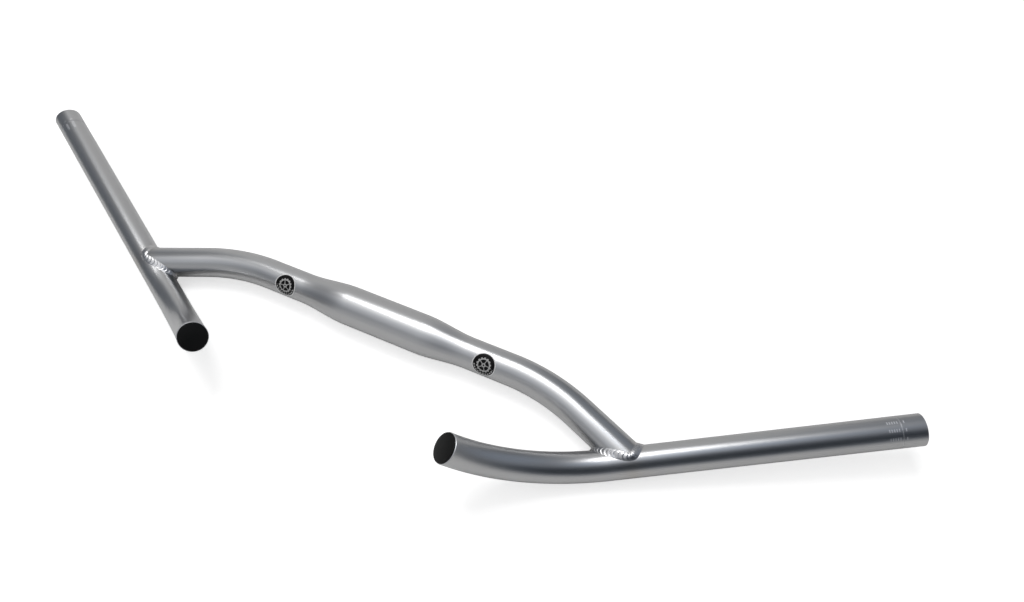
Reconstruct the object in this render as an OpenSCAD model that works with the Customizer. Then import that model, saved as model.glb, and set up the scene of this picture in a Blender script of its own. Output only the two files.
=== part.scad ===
// Swept-back bicycle handlebar with forward horns, built from aluminium tube.
// One bulged and bent centre tube carries a side tube on each end. Each side tube is one
// straight grip that runs on past the joint and curves up into a horn. The ends of the
// centre tube are coped to the side tubes and welded all round.
// Units are millimetres. The stem clamp is centred on the origin, X runs to the rider's
// right, Y forward and Z up.

/* [Centre tube] */
// Diameter of the thick middle that the stem holds
clamp_d = 31.8; // [28:0.1:35]
// Length of the thick middle
clamp_w = 64; // [44:2:70]
// Length over which the tube thins down on each side of the middle
taper_len = 43; // [30:1:45]
// Diameter of the bent arms
arm_d = 24.7; // [23:0.1:25.4]
// Distance from the centre of the clamp to the start of each bend
bend_start = 110; // [107:1:125]
// Radius of the bend, at the middle of the tube
arm_bend_r = 160; // [120:5:220]
// Angle by which each arm is swept forward
arm_sweep = 21.4; // [12:0.1:26]
// Straight length from the bend to the middle of the joint
arm_len = 52; // [42:1:70]
// Wall thickness under the stem clamp
clamp_wall = 2.6; // [2:0.1:3.2]
// Wall thickness of the arms
arm_wall = 2; // [1.6:0.1:2.4]

/* [Side tubes] */
// Diameter of the grips and horns
side_d = 22.2; // [21.6:0.1:22.4]
// Wall thickness of the grips and horns
side_wall = 1.8; // [1.4:0.1:2.4]
// Angle of the grips behind the line across the bar
grip_sweep = 29.5; // [22:0.5:36]
// Rise of the grips toward their ends
grip_rise = 2; // [0:0.5:5]
// Length of a grip, from the joint to its open end
grip_len = 196; // [150:2:230]
// Distance of the engraved trim line from the open end of a grip
trim_line_at = 16; // [12:1:24]
// Straight length from the joint to the start of the horn's curve
horn_straight = 17; // [14:1:36]
// Radius of the horn's curve, at the middle of the tube
horn_bend_r = 130; // [90:2.5:160]
// Angle through which a horn curves up
horn_bend = 53.5; // [35:0.5:75]
// Angle by which the curve of a horn leans inward
horn_lean = 10.5; // [0:0.5:20]

/* [Welds] */
// Width of the weld on the arm, from the arm's cut end
arm_reach = 2.6; // [1.8:0.1:3]
// Width of the weld on the side tube, from the arm's cut end
side_reach = 3.4; // [2.4:0.1:3.6]
// Height of the weld's face over the arm's edge, where it humps over it
bead_cover = 0.25; // [0.2:0.05:0.5]
// How far the weld's face is hollowed, less its cover, where it fills a corner
bead_dip = 0.5; // [0.3:0.05:0.6]
// Number of ripples around one weld
ripples = 48; // [30:1:56]
// Height of one ripple
ripple_h = 0.26; // [0.1:0.02:0.4]

/* [Fittings] */
// Diameter of the cap on each horn plug
plug_d = 21.4; // [20.6:0.1:22.4]
// Length of the plug inside the horn
plug_len = 13; // [12:0.5:16]
// Diameter of the round sticker on each arm
badge_d = 19; // [14:0.2:20]
// Angle of the stickers, forward from the top of the bar
badge_angle = 39; // [0:1:60]
// How far both stickers sit toward the rider's left of even places
badge_drift = 2; // [0:0.5:2]

/* [Seat] */
// Roll of the whole bar about the clamp, at which it stands on the clamp and both horns
bar_roll = 5.6; // [0:0.1:10]

/* [Hidden] */
$fn = 96;

clamp_r = clamp_d / 2;
arm_r = arm_d / 2;
arm_bore_r = arm_r - arm_wall;
side_r = side_d / 2;
side_bore_r = side_r - side_wall;
taper_steps = 18;

// Ends of the tubes, the angle sawn off a bend, and the trim line
end_chamfer = 0.35;
saw_off = 6;
trim_line_w = 0.6;
trim_line_depth = 0.2;

// An arm's wall swells a little in its bend, both ways. The straight lengths run a little way
// into the bend.
bend_swell = 0.02;
bend_lap = 0.5;

// Clearances: cope to side tube, weld to both tubes, sticker to arm, plug cap to horn
cope_gap = 0.18;
bead_gap = 0.04;
badge_gap = 0.02;
seat_gap = 0.03;

// The cope is cut with a cutter a little larger than the arm
cope_over = 0.4;
cope_r = arm_r + cope_over;
cope_shift = cope_r - side_r - cope_gap;
cope_len = 4 * arm_d;

// Horn plug
cap_t = 1.1;
cap_dome = 0.7;
cap_edge = 0.3;
cap_steps = 6;
spigot_wall = 1.4;
spigot_clear = 1.3;
spigot_r = side_bore_r - spigot_clear;
plug_floor = 1.2;
fin_count = 3;
fin_pitch = 3.1;
fin_first = 2.6;
fin_t = 0.7;
fin_slope = 0.9;
fin_clear = 0.06;

// Sticker
badge_t = 0.15;
badge_inset = 14.5;
badge_points = 96;
badge_x = clamp_w / 2 + taper_len + badge_inset;

// Joint of arm and side tube: its place, the pose of the side tube and the angle between
joint = [bend_start + arm_bend_r * sin(arm_sweep) + arm_len * cos(arm_sweep),
         arm_bend_r * (1 - cos(arm_sweep)) + arm_len * sin(arm_sweep),
         0];
side_tilt = 90 + grip_rise;
side_heading = 180 - grip_sweep;
arm_back = [-cos(arm_sweep), -sin(arm_sweep), 0];
side_x = [cos(side_tilt) * cos(side_heading), cos(side_tilt) * sin(side_heading), -sin(side_tilt)];
side_y = [-sin(side_heading), cos(side_heading), 0];
side_z = cross(side_x, side_y);
joint_angle = acos(arm_back * side_z);
arm_spin = atan2(arm_back * side_y, arm_back * side_x);

// Weld: the arm's outline on its cut end, in axes with X toward the arm and Z along the horn,
// where the horn curls off to one side
stations_per_ripple = 3;
stations = ripples * stations_per_ripple;
bead_steps = 6;
root_steps = 3;
bead_blend = 0.25;
ripple_lag = 5;
bead_arm_r = arm_r + bead_gap;
bead_side_r = side_r + bead_gap;
bead_cope_r = cope_r - bead_gap;
arm_in = [-sin(joint_angle), 0, -cos(joint_angle)];
arm_across = [cos(joint_angle), 0, -sin(joint_angle)];
arm_up = [0, 1, 0];
curl = 180 - horn_lean - arm_spin;
curl_way = [cos(curl), sin(curl), 0];

function unit(v) = v / norm(v);
function smooth(u) = let(v = max(0, min(1, u))) v * v * (3 - 2 * v);
function thinned(x) = smooth((abs(x) - clamp_w / 2) / taper_len);
function outer_r(x) = clamp_r + (arm_r - clamp_r) * thinned(x);
function inner_r(x) = outer_r(x) - clamp_wall - (arm_wall - clamp_wall) * thinned(x);

function arm_normal(a) = cos(a) * arm_across + sin(a) * arm_up;
function cut_depth(a) = sqrt(pow(bead_cope_r, 2) - pow(bead_arm_r * sin(a), 2)) - cope_shift;
function cut_reach(a) =
    (bead_arm_r * cos(a) * cos(joint_angle) - cut_depth(a)) / sin(joint_angle);
function edge(a) = cut_reach(a) * arm_in + bead_arm_r * arm_normal(a);
function edge_way(a) = unit(edge(a + 1) - edge(a - 1));

// The point of the side tube's centre line that is nearest to p, on the straight length or,
// past its end, on the horn's curve
function side_centre(p) =
    let (past = p.z - horn_straight,
         k = past > 0 ? atan2(past, horn_bend_r - p * curl_way) : 0)
    horn_bend_r * (1 - cos(k)) * curl_way
        + [0, 0, past > 0 ? horn_straight + horn_bend_r * sin(k) : p.z];
function side_normal(p) = unit(p - side_centre(p));
function on_side(p) = side_centre(p) + bead_side_r * side_normal(p);
function on_arm(p) =
    let (along = (p * arm_in) * arm_in)
    along + bead_arm_r * unit(p - along);
function arm_toe(a, reach) = on_arm(edge(a) + reach * cross(arm_normal(a), edge_way(a)));
function side_toe(a, reach) =
    on_side(edge(a) + reach * cross(edge_way(a), side_normal(edge(a))));
function hump(u) = 4 * u * (1 - u);
function ripple(k) = ripple_h * (1 - (k % stations_per_ripple) / (stations_per_ripple - 1));

// The greater of a height and minus the dip, with a soft change from one to the other
function eased(h) = (h - bead_dip + norm([h + bead_dip, bead_blend])) / 2;

// Height of the weld's face over the straight line between its toes, from the height of the
// arm's edge over that line
function crown(from, to, e, out) =
    let (way = unit(to - from), over = (e - from) - ((e - from) * way) * way)
    bead_cover + eased(over * out);

// A point on the face of the weld: share u of the way from the arm to the side tube
function bead_point(k, u) =
    let (a = 360 * k / stations + ripple_lag * hump(u),
         from = arm_toe(a, arm_reach),
         to = side_toe(a, side_reach),
         out = unit(arm_normal(a) + side_normal(edge(a))))
    from + u * (to - from) + (crown(from, to, edge(a), out) + ripple(k)) * hump(u) * out;

function bead_section(k) =
    let (a = 360 * k / stations)
    concat([for (i = [0 : bead_steps]) bead_point(k, i / bead_steps)],
           [for (i = [root_steps - 1 : -1 : 1]) side_toe(a, side_reach * i / root_steps)],
           [side_toe(a, bead_gap), on_arm(edge(a)), arm_toe(a, arm_reach / 2)]);

module ring(outer, inner) {
    difference() {
        circle(r = outer);
        circle(r = inner);
    }
}

// A bent tube that starts at the origin along Z and turns toward -X. It is bent a little
// further than asked and then sawn off square, where the next length follows.
module bend(outer, inner, radius, angle) {
    difference() {
        translate([-radius, 0, 0]) rotate([90, 0, 0])
            rotate_extrude(angle = angle + saw_off) translate([radius, 0]) ring(outer, inner);
        past_bend(radius, angle) translate([-2 * outer, -2 * outer, 0]) cube(4 * outer);
    }
}

module past_bend(radius, angle) {
    translate([-radius, 0, 0]) rotate([0, -angle, 0]) translate([radius, 0, 0]) children();
}

module rolled() {
    rotate([-bar_roll, 0, 0]) children();
}

module left() {
    mirror([1, 0, 0]) children();
}

module at_joint() {
    translate(joint) rotate([0, side_tilt, side_heading]) children();
}

module side_axes() {
    at_joint() rotate([0, 0, -horn_lean]) children();
}

module at_horn_end() {
    side_axes() translate([0, 0, horn_straight]) past_bend(horn_bend_r, horn_bend) children();
}

// The straight middle: full size under the clamp, then thinned to the arms on both sides
module bulge() {
    thin = [for (i = [0 : taper_steps]) clamp_w / 2 + taper_len * i / taper_steps];
    half = concat(thin, [bend_start + bend_lap]);
    back = [for (i = [len(half) - 1 : -1 : 0]) -half[i]];
    xs = concat(back, half);
    last = len(xs) - 1;
    rotate([0, 90, 0]) rotate([0, 0, -90])
        rotate_extrude()
            polygon(concat([for (x = xs) [outer_r(x), x]],
                           [for (i = [last : -1 : 0]) [inner_r(xs[i]), xs[i]]]));
}

// One arm: bent forward, then straight to the joint, where it is coped to the side tube
module arm() {
    difference() {
        translate([bend_start, 0, 0]) rotate([0, 90, 0]) rotate([0, 0, -90]) {
            bend(arm_r + bend_swell, arm_bore_r - bend_swell, arm_bend_r, arm_sweep);
            past_bend(arm_bend_r, arm_sweep) translate([0, 0, -bend_lap])
                linear_extrude(arm_len + bend_lap) ring(arm_r, arm_bore_r);
        }
        at_joint() rotate([0, 0, arm_spin]) translate([-cope_shift, 0, -cope_len / 2])
            cylinder(r = cope_r, h = cope_len);
    }
}

module centre_tube() {
    color([0.72, 0.73, 0.75]) rolled() {
        bulge();
        arm();
        left() arm();
    }
}

// The grip and the straight root of the horn, with the trim line near its open end
module grip() {
    open_end = -grip_len;
    line_from = open_end + trim_line_at;
    line_to = line_from + trim_line_w;
    rotate_extrude()
        polygon([[side_bore_r, horn_straight],
                 [side_bore_r, open_end + end_chamfer],
                 [side_bore_r + end_chamfer, open_end],
                 [side_r - end_chamfer, open_end],
                 [side_r, open_end + end_chamfer],
                 [side_r, line_from],
                 [side_r - trim_line_depth, line_from],
                 [side_r - trim_line_depth, line_to],
                 [side_r, line_to],
                 [side_r, horn_straight]]);
}

// What breaks the edge of a sawn tube end: way is 1 on the outside and -1 in the bore
module bevel(r, way) {
    c = end_chamfer;
    rotate_extrude()
        polygon([[r - 2 * way * c, c], [r + way * c, -2 * c], [r + way * c, c]]);
}

module horn() {
    translate([0, 0, horn_straight]) difference() {
        bend(side_r, side_bore_r, horn_bend_r, horn_bend);
        past_bend(horn_bend_r, horn_bend) {
            bevel(side_r, 1);
            bevel(side_bore_r, -1);
        }
    }
}

module side_tube() {
    color([0.72, 0.73, 0.75]) side_axes() {
        grip();
        horn();
    }
}

// The weld: rippled sections set side by side all round the joint line
module weld() {
    per_section = bead_steps + root_steps + 3;
    points = [for (k = [0 : stations - 1]) each bead_section(k)];
    faces = [for (k = [0 : stations - 1], i = [0 : per_section - 1])
        let (k2 = (k + 1) % stations, i2 = (i + 1) % per_section,
             p = k * per_section + i, q = k * per_section + i2,
             r = k2 * per_section + i2, s = k2 * per_section + i)
        each [[p, r, q], [p, s, r]]];
    color([0.8, 0.8, 0.82]) at_joint() rotate([0, 0, arm_spin]) polyhedron(points, faces);
}

// A hollow plug with three flexible fins and a slightly domed cap. The fins get smaller with
// depth, because the horn curves away behind its end.
function fin_r(depth) = side_bore_r - fin_clear - depth * depth / (2 * horn_bend_r);
function fin(i) =
    let (top = fin_first + i * fin_pitch, tip = top + fin_slope)
    [[spigot_r, -top], [fin_r(tip + fin_t), -tip], [fin_r(tip + fin_t), -tip - fin_t / 2],
     [spigot_r, -top - fin_t]];

module horn_plug() {
    cap_r = plug_d / 2;
    dome = [for (i = [0 : cap_steps])
        let (t = i / cap_steps)
        [(cap_r - cap_edge) * t, cap_t + cap_dome * (1 - t * t)]];
    color([0.08, 0.08, 0.09]) at_horn_end() translate([0, 0, seat_gap])
        rotate_extrude()
            polygon(concat(dome,
                           [[cap_r, cap_t - cap_edge], [cap_r, 0], [spigot_r, 0]],
                           [for (i = [0 : fin_count - 1]) each fin(i)],
                           [[spigot_r, -plug_len], [spigot_r - spigot_wall, -plug_len],
                            [spigot_r - spigot_wall, -plug_floor], [0, -plug_floor]]));
}

// A thin round sticker wrapped on the arm: its outline is a circle along the tube's face
module badge(drift) {
    inner = arm_r + badge_gap;
    outline = [for (i = [0 : badge_points - 1])
        let (a = 360 * i / badge_points, wrap = (badge_d / 2 * sin(a)) / inner * 180 / PI)
        [badge_d / 2 * cos(a), inner * sin(wrap)]];
    color([0.1, 0.1, 0.1]) translate([badge_x + drift, 0, 0]) intersection() {
        rotate([0, 90, 0]) linear_extrude(2 * badge_d, center = true)
            ring(inner + badge_t, inner);
        rotate([-badge_angle, 0, 0]) linear_extrude(arm_d) polygon(outline);
    }
}

centre_tube();
rolled() left() side_tube();  // left_side_tube
rolled() side_tube();  // right_side_tube
rolled() left() weld();  // left_weld
rolled() weld();  // right_weld
rolled() left() horn_plug();  // left_horn_plug
rolled() horn_plug();  // right_horn_plug
rolled() left() badge(badge_drift);  // left_badge
rolled() badge(-badge_drift);  // right_badge
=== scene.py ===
"""A swept-back silver handlebar with forward horns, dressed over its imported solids."""

import math

import bpy
import numpy as np
from mathutils import Matrix, Vector

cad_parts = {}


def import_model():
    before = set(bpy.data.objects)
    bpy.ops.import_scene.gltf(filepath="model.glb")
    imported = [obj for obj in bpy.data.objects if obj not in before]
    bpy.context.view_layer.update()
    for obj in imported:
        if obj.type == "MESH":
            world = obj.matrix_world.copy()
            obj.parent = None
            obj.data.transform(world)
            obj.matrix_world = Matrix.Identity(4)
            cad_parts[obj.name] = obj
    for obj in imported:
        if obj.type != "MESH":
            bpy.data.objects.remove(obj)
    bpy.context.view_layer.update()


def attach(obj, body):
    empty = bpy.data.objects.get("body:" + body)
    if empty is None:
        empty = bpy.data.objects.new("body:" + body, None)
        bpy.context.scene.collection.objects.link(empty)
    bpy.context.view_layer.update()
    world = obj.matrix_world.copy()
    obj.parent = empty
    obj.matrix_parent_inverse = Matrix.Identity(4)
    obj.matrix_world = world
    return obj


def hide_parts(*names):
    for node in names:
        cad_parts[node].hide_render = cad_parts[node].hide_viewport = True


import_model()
MM = 0.001

# Centre tube, millimetres and degrees
CLAMP_R = 15.9
CLAMP_W = 64.0
TAPER_LEN = 43.0
ARM_R = 12.35
BEND_START = 110.0
ARM_BEND_R = 160.0
ARM_SWEEP = math.radians(21.4)
ARM_LEN = 52.0
CLAMP_WALL = 2.6
ARM_WALL = 2.0

# Side tubes
SIDE_R = 11.1
SIDE_WALL = 1.8
GRIP_SWEEP = math.radians(29.5)
GRIP_RISE = math.radians(2.0)
GRIP_LEN = 196.0
TRIM_LINE_AT = 16.0
TRIM_LINE_W = 0.6
TRIM_LINE_DEPTH = 0.2
HORN_STRAIGHT = 17.0
HORN_BEND_R = 130.0
HORN_BEND = math.radians(53.5)
HORN_LEAN = math.radians(10.5)
END_CHAMFER = 0.35

# Welds
ARM_REACH = 2.6
SIDE_REACH = 3.4
BEAD_COVER = 0.25
BEAD_DIP = 0.5
BEAD_BLEND = 0.25
RIPPLES = 48
RIPPLE_H = 0.26
BEAD_GAP = 0.04
RIPPLE_LEAN = math.radians(5)
RIPPLE_RISE = 0.25
RIPPLE_SPREAD = (0.75, 1.25)
COPE_GAP = 0.18
COPE_OVER = 0.4

# Plugs and stickers
PLUG_R = 10.7
CAP_T = 1.1
CAP_DOME = 0.7
SEAT_GAP = 0.03
SPIGOT_GAP = 1.3
SPIGOT_LEN = 13.0
SPIGOT_WALL = 1.4
PLUG_FLOOR = 1.2
PLUG_FINS = 3
FIN_START = 2.6
FIN_PITCH = 3.1
FIN_SLOPE = 0.9
FIN_FOOT = 0.7
FIN_GAP = 0.06
BADGE_R = 9.5
BADGE_T = 0.15
BADGE_GAP = 0.02
BADGE_X = CLAMP_W / 2 + TAPER_LEN + 14.5
BADGE_DRIFT = 2.0
BADGE_ANGLE = math.radians(39.0)

# Seat of the bar and the camera that took the photograph, in millimetres
BAR_ROLL = math.radians(-5.6)
CAMERA_AT = Vector((-246.99, 172.14, 530.25))
CAMERA_TURN = Vector((0.588696, -2.816295, 0.645689))
CAMERA_LENS = 26.79

ROUND = 96
ROLL = Matrix.Rotation(BAR_ROLL, 3, "X")


def unit(v):
    v = np.asarray(v, float)
    return v / np.linalg.norm(v)


def smooth(u):
    v = min(1.0, max(0.0, u))
    return v * v * (3 - 2 * v)


def turn(axis, angle):
    return np.array(Matrix.Rotation(angle, 3, axis))


# Joint of the right arm and side tube, with the axes that the welds are drawn in
JOINT = np.array(
    [
        BEND_START + ARM_BEND_R * math.sin(ARM_SWEEP) + ARM_LEN * math.cos(ARM_SWEEP),
        ARM_BEND_R * (1 - math.cos(ARM_SWEEP)) + ARM_LEN * math.sin(ARM_SWEEP),
        0.0,
    ]
)
SIDE_AXES = turn("Z", math.pi - GRIP_SWEEP) @ turn("Y", math.pi / 2 + GRIP_RISE)
ARM_BACK = np.array([-math.cos(ARM_SWEEP), -math.sin(ARM_SWEEP), 0.0])
JOINT_ANGLE = math.acos(ARM_BACK @ SIDE_AXES[:, 2])
ARM_SPIN = math.atan2(ARM_BACK @ SIDE_AXES[:, 1], ARM_BACK @ SIDE_AXES[:, 0])
WELD_AXES = SIDE_AXES @ turn("Z", ARM_SPIN)
ARM_IN = np.array([-math.sin(JOINT_ANGLE), 0.0, -math.cos(JOINT_ANGLE)])
ARM_ACROSS = np.array([math.cos(JOINT_ANGLE), 0.0, -math.sin(JOINT_ANGLE)])
ARM_UP = np.array([0.0, 1.0, 0.0])
CURL = math.pi - HORN_LEAN - ARM_SPIN
CURL_WAY = np.array([math.cos(CURL), math.sin(CURL), 0.0])


def placed(points, side):
    """Points of the level right half, in millimetres, as metres in the row frame."""
    p = np.asarray(points, float) * np.array([side, 1.0, 1.0])
    return (p @ np.array(ROLL).T) * MM


def mesh_object(name, points, faces, material, side=1, sharp=32.0, uvs=None):
    """A smooth-shaded mesh. Faces are index tuples, wound outward for side 1."""
    mesh = bpy.data.meshes.new(name)
    if side < 0:
        faces = [tuple(reversed(f)) for f in faces]
    mesh.from_pydata([tuple(p) for p in placed(points, side)], [], faces)
    if uvs is not None:
        layer = mesh.uv_layers.new(name="UVMap")
        loops = np.zeros(len(mesh.loops), int)
        mesh.loops.foreach_get("vertex_index", loops)
        layer.data.foreach_set("uv", np.asarray(uvs, np.float32)[loops].ravel())
    mesh.validate()
    mesh.polygons.foreach_set("use_smooth", [True] * len(mesh.polygons))
    mesh.set_sharp_from_angle(angle=math.radians(sharp))
    obj = bpy.data.objects.new(name, mesh)
    bpy.context.scene.collection.objects.link(obj)
    mesh.materials.append(material)
    return obj


def loft(rings, closed=False, flip=False):
    """Quads between rings of equal length, each ring a closed loop."""
    faces = []
    count, around = len(rings), len(rings[0])
    for i in range(count if closed else count - 1):
        j = (i + 1) % count
        for k in range(around):
            m = (k + 1) % around
            quad = (i * around + k, i * around + m, j * around + m, j * around + k)
            faces.append(tuple(reversed(quad)) if flip else quad)
    return faces


# Centre lines as functions of the distance along them


def arm_line(s):
    """Point, heading and sideways axis of the centre tube, s from its middle along the right half."""
    if s <= BEND_START:
        return np.array([s, 0.0, 0.0]), np.array([1.0, 0.0, 0.0]), np.array([0.0, 1.0, 0.0])
    a = min((s - BEND_START) / ARM_BEND_R, ARM_SWEEP)
    head = np.array([math.cos(a), math.sin(a), 0.0])
    out = np.array([-math.sin(a), math.cos(a), 0.0])
    rest = s - BEND_START - ARM_BEND_R * a
    bent = np.array([BEND_START + ARM_BEND_R * math.sin(a), ARM_BEND_R * (1 - math.cos(a)), 0.0])
    return bent + rest * head, head, out


def side_line(s):
    """Point and two axes across the side tube, s from the joint toward the horn."""
    leaned = SIDE_AXES @ turn("Z", -HORN_LEAN)
    a = min(max(s - HORN_STRAIGHT, 0.0) / HORN_BEND_R, HORN_BEND)
    straight = min(s, HORN_STRAIGHT)
    local = np.array([-HORN_BEND_R * (1 - math.cos(a)), 0.0, HORN_BEND_R * math.sin(a) + straight])
    across = np.array([math.cos(a), 0.0, math.sin(a)])
    return JOINT + leaned @ local, leaned @ across, leaned @ np.array([0.0, 1.0, 0.0])


SIDE_END = HORN_STRAIGHT + HORN_BEND_R * HORN_BEND
ARM_END = BEND_START + ARM_BEND_R * ARM_SWEEP + ARM_LEN


def thinned(s):
    return smooth((abs(s) - CLAMP_W / 2) / TAPER_LEN)


def outer_r(s):
    return CLAMP_R + (ARM_R - CLAMP_R) * thinned(s)


def inner_r(s):
    return outer_r(s) - CLAMP_WALL - (ARM_WALL - CLAMP_WALL) * thinned(s)


# The coped end of an arm and the weld over it, in the weld's axes


def arm_normal(a):
    return math.cos(a) * ARM_ACROSS + math.sin(a) * ARM_UP


def cope_point(a, arm_r, cope_r, shift):
    """Where an arm of that radius meets the cope's cutter."""
    depth = math.sqrt(cope_r**2 - (arm_r * math.sin(a)) ** 2) - shift
    reach = (arm_r * math.cos(a) * math.cos(JOINT_ANGLE) - depth) / math.sin(JOINT_ANGLE)
    return reach * ARM_IN + arm_r * arm_normal(a)


COPE_R = ARM_R + COPE_OVER
COPE_SHIFT = COPE_R - SIDE_R - COPE_GAP


def edge(a):
    return cope_point(a, ARM_R + BEAD_GAP, COPE_R - BEAD_GAP, COPE_SHIFT)


def edge_way(a):
    return unit(edge(a + 0.02) - edge(a - 0.02))


def side_centre(p):
    """The nearest point of the side tube's centre line, straight or on the horn's curve."""
    past = p[2] - HORN_STRAIGHT
    if past <= 0:
        return np.array([0.0, 0.0, p[2]])
    k = math.atan2(past, HORN_BEND_R - p @ CURL_WAY)
    ahead = np.array([0.0, 0.0, HORN_STRAIGHT + HORN_BEND_R * math.sin(k)])
    return HORN_BEND_R * (1 - math.cos(k)) * CURL_WAY + ahead


def side_normal(p):
    return unit(p - side_centre(p))


def on_side(p):
    return side_centre(p) + (SIDE_R + BEAD_GAP) * side_normal(p)


def on_arm(p):
    along = (p @ ARM_IN) * ARM_IN
    return along + (ARM_R + BEAD_GAP) * unit(p - along)


def arm_toe(a, reach):
    return on_arm(edge(a) + reach * np.cross(arm_normal(a), edge_way(a)))


def side_toe(a, reach):
    e = edge(a)
    return on_side(e + reach * np.cross(edge_way(a), side_normal(e)))


def crown(start, stop, corner, out):
    """Height of the bead's face over the line between its toes: over the arm's edge it humps,
    in a corner it is hollowed."""
    way = unit(stop - start)
    over = (corner - start) - ((corner - start) @ way) * way
    h = over @ out
    return BEAD_COVER + (h - BEAD_DIP + math.hypot(h + BEAD_DIP, BEAD_BLEND)) / 2


def from_weld_axes(points):
    return np.asarray(points) @ WELD_AXES.T + JOINT


# Pieces


def centre_tube(material):
    """The bulged and bent centre tube, hollow, coped at both ends."""
    half = [0.0, CLAMP_W / 2 - 1]
    half += list(np.linspace(CLAMP_W / 2, CLAMP_W / 2 + TAPER_LEN, 48))
    half += list(np.linspace(CLAMP_W / 2 + TAPER_LEN, BEND_START, 6))[1:]
    half += list(np.linspace(BEND_START, BEND_START + ARM_BEND_R * ARM_SWEEP, 40))[1:]
    half += list(np.linspace(half[-1], ARM_END - 2.4 * ARM_R, 6))[1:]
    angles = np.linspace(0, 2 * math.pi, ROUND, endpoint=False)
    arm_local = np.linalg.inv(WELD_AXES)

    def section(s, radius):
        p, _, out = arm_line(s)
        up = np.array([0.0, 0.0, 1.0])
        return [p + radius * (math.cos(a) * out + math.sin(a) * up) for a in angles]

    def coped(radius):
        """The same section carried on to the cope, keeping each point's angle round the arm."""
        _, head, out = arm_line(ARM_END)
        up = np.array([0.0, 0.0, 1.0])
        ring = []
        for a in angles:
            n = arm_local @ (math.cos(a) * out + math.sin(a) * up)
            turned = math.atan2(n @ ARM_UP, n @ ARM_ACROSS)
            ring.append(from_weld_axes(cope_point(turned, radius, COPE_R, COPE_SHIFT)))
        return ring

    def skin(radius_of, end_radius):
        right = [section(s, radius_of(s)) for s in half] + [coped(end_radius)]
        left = [[q * np.array([-1, 1, 1]) for q in ring] for ring in right[1:]]
        return left[::-1] + right

    outer = skin(outer_r, ARM_R)
    inner = skin(inner_r, ARM_R - ARM_WALL)
    rings = outer + inner[::-1]
    points = [p for ring in rings for p in ring]
    station = half + [ARM_END]
    along = [-s for s in station[1:]][::-1] + station
    along = along + along[::-1]
    uvs = [(s, ARM_R * a) for s in along for a in angles]
    obj = mesh_object("bar_centre_tube", points, loft(rings, closed=True), material, uvs=uvs)
    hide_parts("centre_tube")
    return obj


def side_tube(material, side, word):
    """Grip and horn as one hollow tube with broken edges and the etched trim line."""
    c = END_CHAMFER
    bore = SIDE_R - SIDE_WALL
    line = -GRIP_LEN + TRIM_LINE_AT
    profile = [(-GRIP_LEN, SIDE_R - c), (-GRIP_LEN + c, SIDE_R)]
    profile += [(s, SIDE_R) for s in np.linspace(-GRIP_LEN + 1, line - 0.3, 5)]
    floor_r = SIDE_R - TRIM_LINE_DEPTH
    profile += [(line, SIDE_R), (line, floor_r), (line + TRIM_LINE_W, floor_r)]
    profile += [(line + TRIM_LINE_W, SIDE_R)]
    profile += [(s, SIDE_R) for s in np.linspace(line + TRIM_LINE_W + 0.3, HORN_STRAIGHT, 24)]
    profile += [(s, SIDE_R) for s in np.linspace(HORN_STRAIGHT, SIDE_END - c - 0.3, 72)[1:]]
    profile += [(SIDE_END - c, SIDE_R), (SIDE_END, SIDE_R - c), (SIDE_END, bore + c)]
    profile += [(s, bore) for s in np.linspace(SIDE_END - c, HORN_STRAIGHT, 48)]
    profile += [(-GRIP_LEN + c, bore), (-GRIP_LEN, bore + c)]
    angles = np.linspace(0, 2 * math.pi, ROUND, endpoint=False)
    rings = []
    for s, r in profile:
        p, ex, ey = side_line(s)
        rings.append([p + r * (math.cos(a) * ex + math.sin(a) * ey) for a in angles])
    points = [p for ring in rings for p in ring]
    uvs = [(s, SIDE_R * a) for s, _ in profile for a in angles]
    faces = loft(rings, closed=True)
    obj = mesh_object(f"bar_{word}_side_tube", points, faces, material, side, uvs=uvs)
    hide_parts(f"{word}_side_tube")
    return obj


def ripple_rise(phase):
    """Height of a ripple from 0 to 1: a quick rise, then a long fall to the next ripple."""
    if phase < RIPPLE_RISE:
        return smooth(phase / RIPPLE_RISE)
    return (1 - (phase - RIPPLE_RISE) / (1 - RIPPLE_RISE)) ** 0.8


def weld(material, side, word):
    """The rippled bead, with more stations across each ripple than the solid has."""
    per_ripple = 8
    stations = RIPPLES * per_ripple
    steps = 16
    rng = np.random.default_rng(5)
    height = RIPPLE_H * rng.uniform(*RIPPLE_SPREAD, RIPPLES)
    points = []
    for k in range(stations):
        phase = (k % per_ripple) / per_ripple
        lift = height[k // per_ripple] * ripple_rise(phase)
        base = 2 * math.pi * k / stations
        for i in range(steps + 1):
            u = i / steps
            hump = 4 * u * (1 - u)
            a = base + RIPPLE_LEAN * hump
            start, stop = arm_toe(a, ARM_REACH), side_toe(a, SIDE_REACH)
            out = unit(arm_normal(a) + side_normal(edge(a)))
            rise_here = crown(start, stop, edge(a), out) + lift
            points.append(start + u * (stop - start) + rise_here * hump * out)
        points += [
            side_toe(base, SIDE_REACH * 2 / 3),
            side_toe(base, SIDE_REACH / 3),
            side_toe(base, BEAD_GAP),
            on_arm(edge(base)),
            arm_toe(base, ARM_REACH / 2),
        ]
    around = steps + 6
    rings = [points[k * around : (k + 1) * around] for k in range(stations)]
    faces = loft(rings, closed=True)
    points = from_weld_axes(points)
    obj = mesh_object(f"weld_{word}", points, faces, material, side, sharp=60.0)
    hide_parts(f"{word}_weld")
    return obj


def horn_end_axes():
    p, ex, ey = side_line(SIDE_END)
    return p, ex, ey, np.cross(ex, ey)


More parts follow.
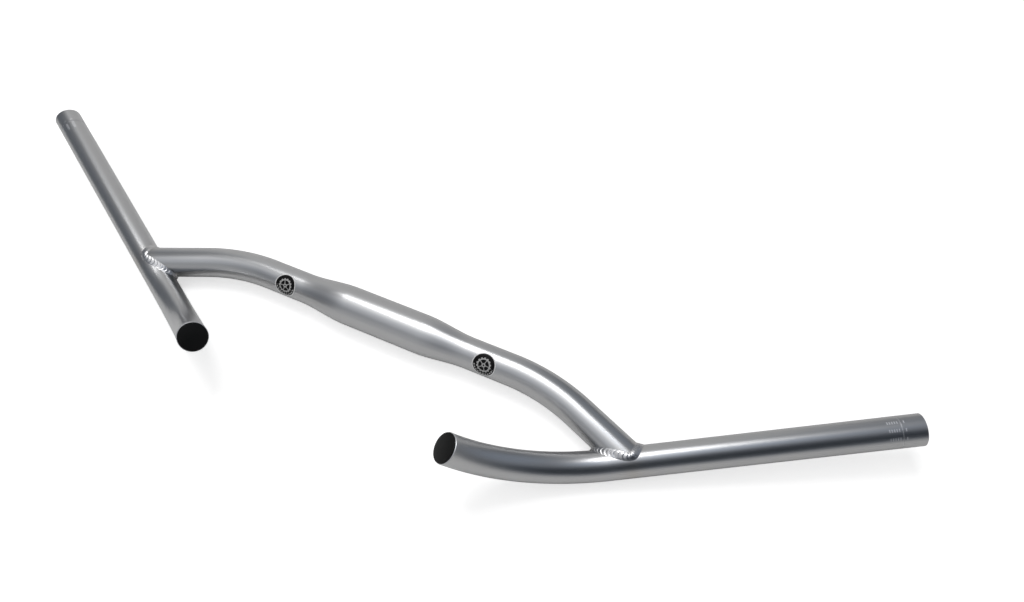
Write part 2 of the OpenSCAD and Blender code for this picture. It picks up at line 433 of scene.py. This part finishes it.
def horn_plug(material, side, word):
    """The cap and spigot of a horn plug as one revolved piece."""
    p, ex, ey, ez = horn_end_axes()
    bore = SIDE_R - SIDE_WALL
    spigot = bore - SPIGOT_GAP
    cap = [(PLUG_R * t, CAP_T + CAP_DOME * (1 - t * t)) for t in np.linspace(0.02, 0.955, 14)]
    cap += [(PLUG_R - 0.2, CAP_T - 0.03), (PLUG_R - 0.06, CAP_T - 0.16), (PLUG_R, CAP_T - 0.36)]
    cap += [(PLUG_R, 0.06), (PLUG_R - 0.06, 0.0), (spigot, 0.0)]
    for i in range(PLUG_FINS):
        top = FIN_START + FIN_PITCH * i
        tip = top + FIN_SLOPE
        fin = bore - FIN_GAP - (tip + FIN_FOOT) ** 2 / (2 * HORN_BEND_R)
        cap += [(spigot, -top), (fin, -tip), (fin, -tip - 0.35), (spigot, -top - FIN_FOOT)]
    hollow = spigot - SPIGOT_WALL
    cap += [(spigot, -SPIGOT_LEN), (hollow, -SPIGOT_LEN), (hollow, -PLUG_FLOOR), (0.2, -PLUG_FLOOR)]
    angles = np.linspace(0, 2 * math.pi, ROUND, endpoint=False)
    start = p + SEAT_GAP * ez
    rings = [
        [start + r * (math.cos(a) * ex + math.sin(a) * ey) + z * ez for a in angles]
        for r, z in cap
    ]
    points = [q for ring in rings for q in ring]
    faces = loft(rings, flip=True)
    last = (len(rings) - 1) * ROUND
    faces.append(tuple(range(ROUND)))
    faces.append(tuple(last + k for k in reversed(range(ROUND))))
    obj = mesh_object(f"plug_{word}_horn", points, faces, material, side)
    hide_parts(f"{word}_horn_plug")
    return obj


def badge(material, side, word):
    """A thin round sticker wrapped on the arm. Its UV map holds -1 to 1 both ways."""
    rings_n, around = 14, 96
    points, uvs = [], []

    def wrapped(u, v, h):
        a = BADGE_ANGLE + v / ARM_R
        r = ARM_R + BADGE_GAP + h
        return [BADGE_X - side * BADGE_DRIFT + u, r * math.sin(a), r * math.cos(a)]

    angles = np.linspace(0, 2 * math.pi, around, endpoint=False)
    radii = list(np.linspace(0.4, BADGE_R - 0.08, rings_n)) + [BADGE_R]
    heights = [BADGE_T] * rings_n + [BADGE_T - 0.05]
    for r, h in list(zip(radii, heights)) + [(BADGE_R, 0.0)]:
        for a in angles:
            points.append(wrapped(r * math.cos(a), r * math.sin(a), h))
            uvs.append((r * math.cos(a) / BADGE_R, r * math.sin(a) / BADGE_R))
    for r in reversed(radii[:-1]):
        for a in angles:
            points.append(wrapped(r * math.cos(a), r * math.sin(a), 0.0))
            uvs.append((r * math.cos(a) / BADGE_R, r * math.sin(a) / BADGE_R))
    rings = [points[i : i + around] for i in range(0, len(points), around)]
    faces = loft(rings)
    faces.append(tuple(range(around))[::-1])
    last = len(points) - around
    faces.append(tuple(last + k for k in range(around)))
    faces = [tuple(reversed(f)) for f in faces]
    obj = mesh_object(f"sticker_{word}", points, faces, material, side, uvs=uvs)
    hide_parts(f"{word}_badge")
    return obj


# Materials


class Nodes:
    """A small helper over a material's node tree."""

    def __init__(self, name):
        self.material = bpy.data.materials.new(name)
        self.material.use_nodes = True
        self.tree = self.material.node_tree
        self.tree.nodes.clear()
        self.out = self.add("ShaderNodeOutputMaterial")

    def add(self, kind, **inputs):
        node = self.tree.nodes.new(kind)
        for key, value in inputs.items():
            name = key.replace("_", " ")
            socket = node.inputs[name] if name in node.inputs else node.inputs[key]
            self.put(socket, value)
        return node

    def put(self, socket, value):
        if isinstance(value, bpy.types.NodeSocket):
            self.tree.links.new(value, socket)
        else:
            socket.default_value = value

    def math(self, operation, a, b=0.0, clamp=False):
        node = self.tree.nodes.new("ShaderNodeMath")
        node.operation = operation
        node.use_clamp = clamp
        self.put(node.inputs[0], a)
        self.put(node.inputs[1], b)
        return node.outputs[0]

    def band(self, value, centre, half_width, soft):
        """1 where value is within half_width of centre, 0 outside, over a soft edge."""
        away = self.math("ABSOLUTE", self.math("SUBTRACT", value, centre))
        edge_at = self.math("SUBTRACT", half_width + soft, away)
        return self.math("DIVIDE", edge_at, soft, clamp=True)

    def mix(self, factor, a, b):
        node = self.tree.nodes.new("ShaderNodeMix")
        node.data_type = "RGBA"
        self.put(node.inputs["Factor"], factor)
        self.put(node.inputs[6], a)
        self.put(node.inputs[7], b)
        return node.outputs[2]

    def blend(self, factor, a, b):
        node = self.tree.nodes.new("ShaderNodeMix")
        node.data_type = "FLOAT"
        self.put(node.inputs["Factor"], factor)
        self.put(node.inputs[2], a)
        self.put(node.inputs[3], b)
        return node.outputs[0]


SILVER = (0.513, 0.513, 0.515, 1.0)
SILVER_CLOUD = (0.482, 0.484, 0.488, 1.0)
SILVER_ETCHED = (0.8, 0.8, 0.81, 1.0)
RAW_METAL = (0.64, 0.64, 0.65, 1.0)
HEAT_TINT = (0.47, 0.44, 0.40, 1.0)
MIDDLE = (SIDE_END - GRIP_LEN) / 2
HALF_LENGTH = (SIDE_END + GRIP_LEN) / 2
TICK_ROWS = [math.radians(a) for a in (170.0, 200.0, 230.0)]
TICK_HALF_WIDTH = 0.24
TICK_HALF_LENGTH = 1.0
TICK_BEFORE = 2.4
TICK_AFTER = 2.0
TICK_PITCH = 1.6
TICKS_AFTER = 5
MARK_SOFT = 0.08
CUT_HALF_WIDTH = 0.25
HEAT_REACH = 17.0
HEAT_FADE = 16.0


def anodised(name, joint_at, etched):
    """Satin silver anodising: faint drawing lines along the tube, a hint of heat colour by the
    weld and, where asked, the etched marks near the open end."""
    n = Nodes(name)
    uv = n.add("ShaderNodeUVMap").outputs["UV"]
    split = n.add("ShaderNodeSeparateXYZ", Vector=uv)
    along, around = split.outputs["X"], split.outputs["Y"]
    stretched = n.add("ShaderNodeCombineXYZ", X=n.math("MULTIPLY", along, 0.02), Y=around)
    lines = n.add("ShaderNodeTexNoise", Vector=stretched.outputs[0], Scale=3.2, Detail=4.0)
    place = n.add("ShaderNodeTexCoord").outputs["Object"]
    cloud = n.add("ShaderNodeTexNoise", Vector=place, Scale=26.0, Detail=3.0)
    grain = n.add("ShaderNodeTexNoise", Vector=place, Scale=1900.0, Detail=2.0)
    colour = n.mix(
        n.math("MULTIPLY", n.math("SUBTRACT", cloud.outputs["Fac"], 0.35), 0.5, clamp=True),
        SILVER,
        SILVER_CLOUD,
    )
    near = n.math("ABSOLUTE", n.math("SUBTRACT", n.math("ABSOLUTE", along), joint_at))
    heat = n.math("DIVIDE", n.math("SUBTRACT", HEAT_REACH, near), HEAT_FADE, clamp=True)
    heat = n.math("MULTIPLY", n.math("POWER", heat, 2.0), 0.45)
    colour = n.mix(heat, colour, HEAT_TINT)
    rough = n.math("ADD", 0.26, n.math("MULTIPLY", lines.outputs["Fac"], 0.045))
    rough = n.math("ADD", rough, n.math("MULTIPLY", cloud.outputs["Fac"], 0.04))
    if etched:
        from_middle = n.math("ABSOLUTE", n.math("SUBTRACT", along, MIDDLE))
        cut = n.band(from_middle, HALF_LENGTH, CUT_HALF_WIDTH, 0.1)
        colour = n.mix(cut, colour, RAW_METAL)
        rough = n.blend(cut, rough, 0.45)
        line_at = -GRIP_LEN + TRIM_LINE_AT + TRIM_LINE_W / 2
        groove = n.band(along, line_at, TRIM_LINE_W / 2, MARK_SOFT)
        ticks = n.band(along, line_at - TICK_BEFORE, TICK_HALF_WIDTH, MARK_SOFT)
        for i in range(TICKS_AFTER):
            tick_at = line_at + TICK_AFTER + TICK_PITCH * i
            tick = n.band(along, tick_at, TICK_HALF_WIDTH, MARK_SOFT)
            ticks = n.math("MAXIMUM", ticks, tick)
        rows = n.band(around, SIDE_R * TICK_ROWS[0], TICK_HALF_LENGTH, 0.1)
        for angle in TICK_ROWS[1:]:
            row = n.band(around, SIDE_R * angle, TICK_HALF_LENGTH, 0.1)
            rows = n.math("MAXIMUM", rows, row)
        marks = n.math("MULTIPLY", ticks, rows)
        marks = n.math("MAXIMUM", marks, n.math("MULTIPLY", groove, 0.4))
        colour = n.mix(marks, colour, SILVER_ETCHED)
        rough = n.blend(marks, rough, 0.6)
    bump = n.add("ShaderNodeBump", Strength=0.03, Distance=0.0002)
    height = n.math("ADD", n.math("MULTIPLY", lines.outputs["Fac"], 0.6), grain.outputs["Fac"])
    n.put(bump.inputs["Height"], height)
    shader = n.add(
        "ShaderNodeBsdfPrincipled",
        Base_Color=colour,
        Metallic=1.0,
        Roughness=rough,
        Normal=bump.outputs["Normal"],
    )
    n.put(n.out.inputs["Surface"], shader.outputs["BSDF"])
    return n.material


def weld_metal():
    """Brighter metal of the bead, with small pits and patches of grey at random."""
    n = Nodes("weld_metal")
    place = n.add("ShaderNodeTexCoord").outputs["Object"]
    fine = n.add("ShaderNodeTexNoise", Vector=place, Scale=900.0, Detail=4.0)
    wide = n.add("ShaderNodeTexNoise", Vector=place, Scale=160.0, Detail=2.0)
    colour = n.mix(wide.outputs["Fac"], (0.62, 0.62, 0.63, 1.0), (0.5, 0.49, 0.48, 1.0))
    rough = n.math("ADD", 0.2, n.math("MULTIPLY", fine.outputs["Fac"], 0.2))
    bump = n.add("ShaderNodeBump", Strength=0.12, Distance=0.0004, Height=fine.outputs["Fac"])
    shader = n.add(
        "ShaderNodeBsdfPrincipled",
        Base_Color=colour,
        Metallic=1.0,
        Roughness=rough,
        Normal=bump.outputs["Normal"],
    )
    n.put(n.out.inputs["Surface"], shader.outputs["BSDF"])
    return n.material


def black_plastic():
    """Moulded black plastic with a fine matt grain."""
    n = Nodes("black_plastic")
    place = n.add("ShaderNodeTexCoord").outputs["Object"]
    grain = n.add("ShaderNodeTexNoise", Vector=place, Scale=2200.0, Detail=3.0)
    wide = n.add("ShaderNodeTexNoise", Vector=place, Scale=120.0, Detail=2.0)
    colour = n.mix(wide.outputs["Fac"], (0.004, 0.004, 0.004, 1.0), (0.009, 0.0085, 0.008, 1.0))
    rough = n.math("ADD", 0.34, n.math("MULTIPLY", grain.outputs["Fac"], 0.2))
    bump = n.add("ShaderNodeBump", Strength=0.1, Distance=0.0002, Height=grain.outputs["Fac"])
    shader = n.add(
        "ShaderNodeBsdfPrincipled",
        Base_Color=colour,
        Roughness=rough,
        Specular_IOR_Level=0.22,
        Normal=bump.outputs["Normal"],
    )
    n.put(n.out.inputs["Surface"], shader.outputs["BSDF"])
    return n.material


def sticker_print():
    """A black vinyl disc printed with a pale rim, a cog and a row of plain blocks."""
    n = Nodes("sticker_print")
    uv = n.add("ShaderNodeUVMap").outputs["UV"]
    split = n.add("ShaderNodeSeparateXYZ", Vector=uv)
    x, y = split.outputs["X"], split.outputs["Y"]
    radius = n.math("SQRT", n.math("ADD", n.math("MULTIPLY", x, x), n.math("MULTIPLY", y, y)))
    angle = n.math("ARCTAN2", y, x)
    soft = 0.02
    rim = n.band(radius, 0.965, 0.03, soft)
    teeth = n.math("SINE", n.math("MULTIPLY", angle, 14.0))
    teeth = n.math("MULTIPLY", n.math("GREATER_THAN", teeth, 0.0), 0.07)
    cog_out = n.math("ADD", 0.56, teeth)
    inside = n.math("DIVIDE", n.math("SUBTRACT", cog_out, radius), soft, clamp=True)
    outside = n.math("DIVIDE", n.math("SUBTRACT", radius, 0.44), soft, clamp=True)
    cog = n.math("MULTIPLY", inside, outside)
    ray = n.math("ABSOLUTE", n.math("SINE", n.math("MULTIPLY", angle, 2.5)))
    ray = n.math("LESS_THAN", n.math("MULTIPLY", ray, radius), 0.07)
    ray = n.math("MULTIPLY", ray, n.band(radius, 0.3, 0.15, soft))
    hub = n.band(radius, 0.12, 0.035, soft)
    blocks = n.math("SINE", n.math("MULTIPLY", angle, 22.0))
    blocks = n.math("MULTIPLY", n.math("GREATER_THAN", blocks, -0.3), n.band(radius, 0.8, 0.045, soft))
    lower = n.math("GREATER_THAN", y, 0.1)
    blocks = n.math("MULTIPLY", blocks, lower)
    ink = n.math("MAXIMUM", n.math("MAXIMUM", cog, ray), n.math("MAXIMUM", hub, blocks))
    place = n.add("ShaderNodeTexCoord").outputs["Object"]
    wear = n.add("ShaderNodeTexNoise", Vector=place, Scale=700.0, Detail=3.0)
    black = n.mix(wear.outputs["Fac"], (0.004, 0.004, 0.0045, 1.0), (0.01, 0.01, 0.01, 1.0))
    colour = n.mix(n.math("MULTIPLY", ink, 0.85), black, (0.62, 0.62, 0.62, 1.0))
    colour = n.mix(rim, colour, (0.93, 0.93, 0.94, 1.0))
    rough = n.math("ADD", 0.25, n.math("MULTIPLY", wear.outputs["Fac"], 0.15))
    shader = n.add(
        "ShaderNodeBsdfPrincipled",
        Base_Color=colour,
        Roughness=rough,
        Specular_IOR_Level=0.08,
    )
    n.put(n.out.inputs["Surface"], shader.outputs["BSDF"])
    return n.material


# Build the bar

metal_centre = anodised("anodised_centre", ARM_END, etched=False)
metal_side = anodised("anodised_side", 0.0, etched=True)
bead_metal = weld_metal()
plastic = black_plastic()
vinyl = sticker_print()

pieces = [centre_tube(metal_centre)]
for side, word in ((1, "right"), (-1, "left")):
    for build, material, slot in (
        (side_tube, metal_side, "anodised_aluminium"),
        (weld, bead_metal, "weld_metal"),
        (horn_plug, plastic, "black_plastic"),
        (badge, vinyl, "black_sticker"),
    ):
        piece = build(material, side, word)
        pieces.append(piece)
for piece in pieces:
    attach(piece, "root")


# Studio: a white floor, a closed room with pale and dark walls that the camera looks through,
# and one large soft lamp overhead. The camera sees plain white past the floor. Metal meets the
# room's walls, and a floor that is lifted less than the one the camera sees.

FLOOR_Z = -CLAMP_R * MM
FLOOR_HALF = 3.0
FLOOR_LIFT = 0.62
FLOOR_LIFT_IN_METAL = 0.17
FLOOR_WHITE_FROM = 0.8
FLOOR_WHITE_OVER = 1.0
LAMP_AZIMUTH = 138.0
LAMP_ELEVATION = 67.0
LAMP_DISTANCE = 2.4
LAMP_SIZE = (1.16, 1.02)
LAMP_POWER = 19.0
ROOM_RADIUS = 3.2
WALL_LEVEL = 0.2
WALL_BLUE = 0.3
BLUE_WHITE = (0.74, 0.91, 1.2, 1.0)

# Parts of the room: middle azimuth and elevation, half widths, how soft the edge is, the level
# there and how blue its white is. Azimuth 0 is forward (+Y) and 90 the rider's right (+X).
ROOM_PARTS = (
    ("pale ceiling", -150.0, 88.0, 180.0, 15.5, 0.6, 0.6, 1.0),
    ("bright ceiling at the zenith", 60.0, 82.0, 85.0, 10.0, 0.5, 1.35, 0.0),
    ("bright ceiling ahead of the lamp", 62.0, 65.0, 40.0, 12.0, 0.5, 1.45, 0.0),
    ("pale wall behind", 147.0, 18.0, 27.0, 35.0, 0.3, 0.63, 0.0),
    ("pale wall ahead", 20.0, 10.0, 22.0, 34.0, 0.5, 0.58, 0.1),
    ("pale wall high ahead", 32.0, 55.0, 28.0, 14.0, 0.5, 0.85, 0.2),
    ("grey wall at the rear left", -135.0, 35.0, 38.0, 22.0, 0.5, 0.34, 0.65),
    ("pale strip low by the camera", -36.0, 0.0, 34.0, 13.0, 0.4, 0.44, 0.1),
    ("dark wall by the camera", -45.0, 39.0, 38.0, 24.0, 0.4, 0.035, 1.0),
    ("dim wall below the lamp", 110.0, 50.0, 20.0, 9.0, 0.5, 0.05, 0.3),
    ("dark wall at the right", 82.0, 24.0, 33.0, 19.0, 0.5, 0.18, 0.45),
)


def floor_material():
    """White paper, lifted toward pure white for the camera, fully so far from the object, and
    less for glossy rays, where the lift fades out toward the rear: a painted reflection in the metal."""
    n = Nodes("paper")
    place = n.add("ShaderNodeTexCoord").outputs["Object"]
    fibre = n.add("ShaderNodeTexNoise", Vector=place, Scale=60.0, Detail=3.0)
    colour = n.mix(fibre.outputs["Fac"], (0.86, 0.86, 0.86, 1.0), (0.9, 0.9, 0.9, 1.0))
    paper = n.add("ShaderNodeBsdfDiffuse", Color=colour)
    lift = n.add("ShaderNodeEmission", Color=(1.0, 1.0, 1.0, 1.0))
    rays = n.add("ShaderNodeLightPath")
    seen = n.math("MAXIMUM", rays.outputs["Is Camera Ray"], rays.outputs["Is Transmission Ray"])
    away = n.add("ShaderNodeVectorMath")
    away.operation = "LENGTH"
    n.put(away.inputs[0], place)
    past = n.math("SUBTRACT", away.outputs["Value"], FLOOR_WHITE_FROM)
    far = n.math("DIVIDE", past, FLOOR_WHITE_OVER, clamp=True)
    seen = n.math("MULTIPLY", seen, n.blend(far, FLOOR_LIFT, 1.0))
    # Glossy rays see the floor's glow only ahead of the bar, fading to none toward the rear: painted
    # light, shown as a reflection in the metal.
    ahead = n.add("ShaderNodeSeparateXYZ", Vector=place).outputs["Y"]
    ahead = n.math("ADD", 0.3, n.math("MULTIPLY", ahead, 2.0), clamp=True)
    mirrored = n.math("MULTIPLY", rays.outputs["Is Glossy Ray"], FLOOR_LIFT_IN_METAL)
    mirrored = n.math("MULTIPLY", mirrored, ahead)
    n.put(lift.inputs["Strength"], n.math("MAXIMUM", seen, mirrored))
    both = n.add("ShaderNodeAddShader")
    n.put(both.inputs[0], paper.outputs[0])
    n.put(both.inputs[1], lift.outputs[0])
    n.put(n.out.inputs["Surface"], both.outputs[0])
    return n.material


def floor():
    mesh = bpy.data.meshes.new("floor")
    h = FLOOR_HALF
    corners = [(-h, -h, FLOOR_Z), (h, -h, FLOOR_Z), (h, h, FLOOR_Z), (-h, h, FLOOR_Z)]
    mesh.from_pydata(corners, [], [(0, 1, 2, 3)])
    obj = bpy.data.objects.new("floor", mesh)
    bpy.context.scene.collection.objects.link(obj)
    mesh.materials.append(floor_material())


def room_material():
    """Light given off by each direction of the room, blended from the wall and its parts."""
    n = Nodes("room")
    place = n.add("ShaderNodeTexCoord").outputs["Object"]
    split = n.add("ShaderNodeSeparateXYZ", Vector=place)
    x, y, z = split.outputs["X"], split.outputs["Y"], split.outputs["Z"]
    azimuth = n.math("MULTIPLY", n.math("ARCTAN2", x, y), math.degrees(1))
    elevation = n.math("ARCSINE", n.math("DIVIDE", z, ROOM_RADIUS))
    elevation = n.math("MULTIPLY", elevation, math.degrees(1))
    level, blue = WALL_LEVEL, WALL_BLUE
    for _, az, el, wide, high, soft, part_level, part_blue in ROOM_PARTS:
        turned = n.math("SUBTRACT", azimuth, az)
        wrap = n.tree.nodes.new("ShaderNodeMath")
        wrap.operation = "WRAP"
        n.put(wrap.inputs[0], turned)
        wrap.inputs[1].default_value = 180.0
        wrap.inputs[2].default_value = -180.0
        across = n.math("DIVIDE", wrap.outputs[0], wide)
        up = n.math("DIVIDE", n.math("SUBTRACT", elevation, el), high)
        away = n.math("ADD", n.math("MULTIPLY", across, across), n.math("MULTIPLY", up, up))
        inside = n.math("SUBTRACT", 1.0 + soft, n.math("SQRT", away))
        weight = n.math("DIVIDE", inside, 2 * soft, clamp=True)
        level = n.blend(weight, level, part_level)
        blue = n.blend(weight, blue, part_blue)
    rays = n.add("ShaderNodeLightPath")
    blue = n.math("MULTIPLY", blue, n.math("SUBTRACT", 1.0, rays.outputs["Is Diffuse Ray"]))
    white = n.mix(blue, (1.0, 1.0, 1.0, 1.0), BLUE_WHITE)
    glow = n.add("ShaderNodeEmission", Color=white)
    n.put(glow.inputs["Strength"], level)
    n.put(n.out.inputs["Surface"], glow.outputs[0])
    return n.material


def room():
    """A closed shell round the set that the camera looks through."""
    rings, around = 24, 48
    points, faces = [], []
    for i in range(rings + 1):
        el = math.pi * (i / rings - 0.5)
        for k in range(around):
            az = 2 * math.pi * k / around
            flat = ROOM_RADIUS * math.cos(el)
            points.append((flat * math.cos(az), flat * math.sin(az), ROOM_RADIUS * math.sin(el)))
    for i in range(rings):
        for k in range(around):
            m = (k + 1) % around
            faces.append(
                (i * around + k, i * around + m, (i + 1) * around + m, (i + 1) * around + k)
            )
    mesh = bpy.data.meshes.new("room")
    mesh.from_pydata(points, [], faces)
    obj = bpy.data.objects.new("room", mesh)
    bpy.context.scene.collection.objects.link(obj)
    mesh.materials.append(room_material())
    obj.visible_camera = False
    obj.visible_transmission = False
    obj.visible_shadow = False


def lamp():
    """A soft rectangular lamp that faces the bar, its first side level."""
    az, el = math.radians(LAMP_AZIMUTH), math.radians(LAMP_ELEVATION)
    away = Vector((math.sin(az) * math.cos(el), math.cos(az) * math.cos(el), math.sin(el)))
    light = bpy.data.lights.new("overhead", "AREA")
    light.shape = "RECTANGLE"
    light.size, light.size_y = LAMP_SIZE
    light.energy = LAMP_POWER
    obj = bpy.data.objects.new("overhead", light)
    obj.location = away * LAMP_DISTANCE
    obj.rotation_euler = (-away).to_track_quat("-Z", "Y").to_euler()
    bpy.context.scene.collection.objects.link(obj)


def world():
    """White for camera, glossy and transmission rays, dim for light. Glossy rays that are
    followed from the bar meet the room before they get here."""
    w = bpy.data.worlds.new("white")
    bpy.context.scene.world = w
    w.use_nodes = True
    tree = w.node_tree
    tree.nodes.clear()
    out = tree.nodes.new("ShaderNodeOutputWorld")
    rays = tree.nodes.new("ShaderNodeLightPath")
    seen = tree.nodes.new("ShaderNodeMath")
    seen.operation = "MAXIMUM"
    shown = tree.nodes.new("ShaderNodeMath")
    shown.operation = "MAXIMUM"
    tree.links.new(rays.outputs["Is Camera Ray"], seen.inputs[0])
    tree.links.new(rays.outputs["Is Glossy Ray"], seen.inputs[1])
    tree.links.new(seen.outputs[0], shown.inputs[0])
    tree.links.new(rays.outputs["Is Transmission Ray"], shown.inputs[1])
    white = tree.nodes.new("ShaderNodeBackground")
    white.inputs["Color"].default_value = (1.0, 1.0, 1.0, 1.0)
    dim = tree.nodes.new("ShaderNodeBackground")
    dim.inputs["Color"].default_value = (0.97, 0.98, 1.0, 1.0)
    dim.inputs["Strength"].default_value = WALL_LEVEL
    pick = tree.nodes.new("ShaderNodeMixShader")
    tree.links.new(shown.outputs[0], pick.inputs[0])
    tree.links.new(dim.outputs[0], pick.inputs[1])
    tree.links.new(white.outputs[0], pick.inputs[2])
    tree.links.new(pick.outputs[0], out.inputs["Surface"])


def camera():
    """The fitted camera. Its turn is a rotation vector from the level bar's axes to the lens."""
    rows = Matrix.Rotation(CAMERA_TURN.length, 3, CAMERA_TURN.normalized())
    right, down, ahead = (ROLL @ Vector(rows[i]) for i in range(3))
    data = bpy.data.cameras.new("photo")
    data.lens = CAMERA_LENS
    data.sensor_width = 36.0
    data.clip_start = 0.01
    obj = bpy.data.objects.new("photo", data)
    turned = Matrix((right, -down, -ahead)).transposed().to_4x4()
    turned.translation = ROLL @ CAMERA_AT * MM
    obj.matrix_world = turned
    bpy.context.scene.collection.objects.link(obj)
    bpy.context.scene.camera = obj


floor()
room()
world()
lamp()
camera()
bpy.context.scene.view_settings.view_transform = "Standard"
